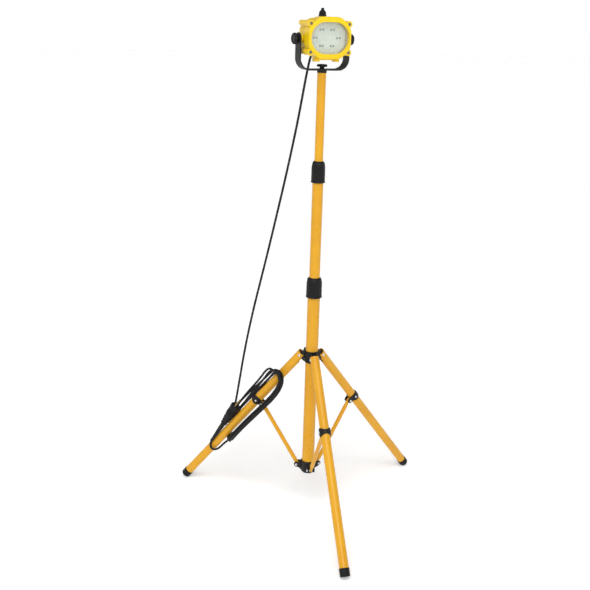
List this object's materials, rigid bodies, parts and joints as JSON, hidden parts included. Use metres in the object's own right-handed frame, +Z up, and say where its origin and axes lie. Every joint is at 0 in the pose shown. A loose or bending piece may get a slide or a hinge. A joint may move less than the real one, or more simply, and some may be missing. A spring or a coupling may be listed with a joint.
{
  "type": "work light",
  "caption": "Portable LED work light on a three-section telescopic mast with a folding tripod; a yoke carries the tilting lamp head, and the power cord hangs coiled on one leg.",
  "frame": {"origin": "on the mast axis, at the level of the floor under the feet", "axes": "+Z up the mast, the lamp head faces -Y, +X is to the right of someone who faces the lamp"},
  "size_m": [0.768, 0.7589, 1.5254],
  "materials": {
    "golden_tube": "satin",
    "black_rubber": "matt",
    "black_nylon": "matt",
    "zinc_steel": "bright zinc",
    "black_steel": "satin",
    "yellow_casting": "gloss",
    "cord_rubber": "satin",
    "lens_clear": "clear",
    "white_plastic": "matt",
    "board": "matt",
    "led_yellow": "gloss",
    "heat_sink_alloy": "satin",
    "driver_plastic": "matt",
    "pin_brass": "plain"
  },
  "bodies": {
    "root": {"lower_tube": "golden_tube", "spider": "black_nylon", "spider_rivets": "zinc_steel", "lower_collet": "black_nylon", "cord_run": "cord_rubber"},
    "lower_lock": {"lower_lock": "black_nylon"},
    "mast_middle": {"middle_tube": "golden_tube", "middle_bush": "black_nylon", "upper_collet": "black_nylon"},
    "upper_lock": {"upper_lock": "black_nylon"},
    "mast_upper": {"upper_tube": "golden_tube", "upper_bush": "black_nylon", "mast_plug": "black_nylon", "yoke_washer": "black_nylon"},
    "yoke": {"yoke": "black_steel"},
    "clamp_knob": {"yoke_clamp_knob": "black_nylon"},
    "head": {"rear_housing": "yellow_casting", "front_bezel": "yellow_casting", "bezel_screws": "zinc_steel", "bezel_gasket": "black_rubber", "lens": "lens_clear", "reflector_tray": "white_plastic", "led_board": "board", "leds": "led_yellow", "heat_sink": "heat_sink_alloy", "led_driver": "driver_plastic", "switch_body": "black_nylon", "switch_nut": "black_nylon", "cable_gland": "black_nylon", "cord_strain_relief": "black_rubber", "tilt_washers": "black_nylon"},
    "switch": {"switch_boot": "black_rubber"},
    "knob_left": {"side_knob_left": "black_nylon"},
    "knob_right": {"side_knob_right": "black_nylon"},
    "hub": {"hub": "black_nylon"},
    "hub_clamp": {"hub_clamp_screw": "black_nylon"},
    "strut_front": {"strut_front": "golden_tube"},
    "leg_front": {"leg_front": "golden_tube", "foot_cap_front": "black_rubber", "leg_clip_front": "black_nylon", "clip_bolts_front": "zinc_steel", "leg_rivet_front": "zinc_steel"},
    "strut_right": {"strut_right": "golden_tube"},
    "leg_right": {"leg_right": "golden_tube", "foot_cap_right": "black_rubber", "leg_clip_right": "black_nylon", "clip_bolts_right": "zinc_steel", "leg_rivet_right": "zinc_steel"},
    "strut_left": {"strut_left": "golden_tube"},
    "leg_left": {"leg_left": "golden_tube", "foot_cap_left": "black_rubber", "leg_clip_left": "black_nylon", "clip_bolts_left": "zinc_steel", "leg_rivet_left": "zinc_steel", "cord_coil": "cord_rubber", "cord_tail": "cord_rubber", "plug_body": "cord_rubber", "plug_pins": "pin_brass"}
  },
  "joints": [
    {"name": "tripod_fold", "type": "hinge", "parent": "root", "child": "strut_front", "pos_m": [-0.00594, -0.03551, 0.1315], "axis": [-0.9863, 0.165, 0], "range_deg": [0, 31], "deforming": ["cord_run"]},
    {"name": "leg_front_swing", "type": "hinge", "parent": "strut_front", "child": "leg_front", "pos_m": [-0.02654, -0.15858, 0.32053], "axis": [0.9863, -0.165, 0], "range_deg": [0, 62]},
    {"name": "strut_right_fold", "type": "hinge", "parent": "root", "child": "strut_right", "pos_m": [0.03493, 0.00871, 0.1315], "axis": [0.2419, -0.9703, 0], "range_deg": [0, 31]},
    {"name": "leg_right_swing", "type": "hinge", "parent": "strut_right", "child": "leg_right", "pos_m": [0.15601, 0.0389, 0.32053], "axis": [-0.2419, 0.9703, 0], "range_deg": [0, 62]},
    {"name": "strut_left_fold", "type": "hinge", "parent": "root", "child": "strut_left", "pos_m": [-0.02611, 0.02478, 0.1315], "axis": [0.6884, 0.7254, 0], "range_deg": [0, 31]},
    {"name": "leg_left_swing", "type": "hinge", "parent": "strut_left", "child": "leg_left", "pos_m": [-0.11663, 0.11068, 0.32053], "axis": [-0.6884, -0.7254, 0], "range_deg": [0, 62]},
    {"name": "hub_level", "type": "hinge", "parent": "leg_front", "child": "hub", "pos_m": [-0.00594, -0.03551, 0.50955], "axis": [-0.9863, 0.165, 0], "range_deg": [0, 31]},
    {"name": "hub_clamp_turn", "type": "hinge", "parent": "hub", "child": "hub_clamp", "pos_m": [-0.00262, 0.02989, 0.51755], "axis": [-0.0872, 0.9962, 0], "range_deg": [0, 180]},
    {"name": "lower_mast_slide", "type": "slide", "parent": "root", "child": "mast_middle", "axis": [0, 0, 1], "range_m": [-0.24, 0], "deforming": ["cord_run"]},
    {"name": "upper_mast_slide", "type": "slide", "parent": "mast_middle", "child": "mast_upper", "axis": [0, 0, 1], "range_m": [-0.24, 0], "deforming": ["cord_run"]},
    {"name": "lower_lock_twist", "type": "hinge", "parent": "root", "child": "lower_lock", "pos_m": [0, 0, 0.727], "axis": [0, 0, 1], "range_deg": [0, 90]},
    {"name": "upper_lock_twist", "type": "hinge", "parent": "mast_middle", "child": "upper_lock", "pos_m": [0, 0, 1.075], "axis": [0, 0, 1], "range_deg": [0, 90]},
    {"name": "yoke_pan", "type": "hinge", "parent": "mast_upper", "child": "yoke", "pos_m": [0, 0, 1.3636], "axis": [0, 0, 1], "range_deg": [-90, 90], "deforming": ["cord_run"]},
    {"name": "clamp_knob_turn", "type": "hinge", "parent": "mast_upper", "child": "clamp_knob", "pos_m": [0, 0, 1.36], "axis": [0, 0, 1], "range_deg": [0, 180]},
    {"name": "head_tilt", "type": "hinge", "parent": "yoke", "child": "head", "pos_m": [0, 0, 1.4445], "axis": [1, 0, 0], "range_deg": [-45, 23], "deforming": ["cord_run"]},
    {"name": "knob_left_turn", "type": "hinge", "parent": "head", "child": "knob_left", "pos_m": [-0.083, 0, 1.4445], "axis": [1, 0, 0], "range_deg": [0, 180]},
    {"name": "knob_right_turn", "type": "hinge", "parent": "head", "child": "knob_right", "pos_m": [0.083, 0, 1.4445], "axis": [1, 0, 0], "range_deg": [0, 180]},
    {"name": "switch_toggle", "type": "hinge", "parent": "head", "child": "switch", "pos_m": [0, 0.009, 1.5095], "axis": [1, 0, 0], "range_deg": [-8, 8]}
  ],
  "couplings": [
    {"joint": "leg_front_swing", "follows": "tripod_fold", "ratio": 2},
    {"joint": "strut_right_fold", "follows": "tripod_fold", "ratio": 1},
    {"joint": "leg_right_swing", "follows": "tripod_fold", "ratio": 2},
    {"joint": "strut_left_fold", "follows": "tripod_fold", "ratio": 1},
    {"joint": "leg_left_swing", "follows": "tripod_fold", "ratio": 2},
    {"joint": "hub_level", "follows": "tripod_fold", "ratio": 1}
  ]
}
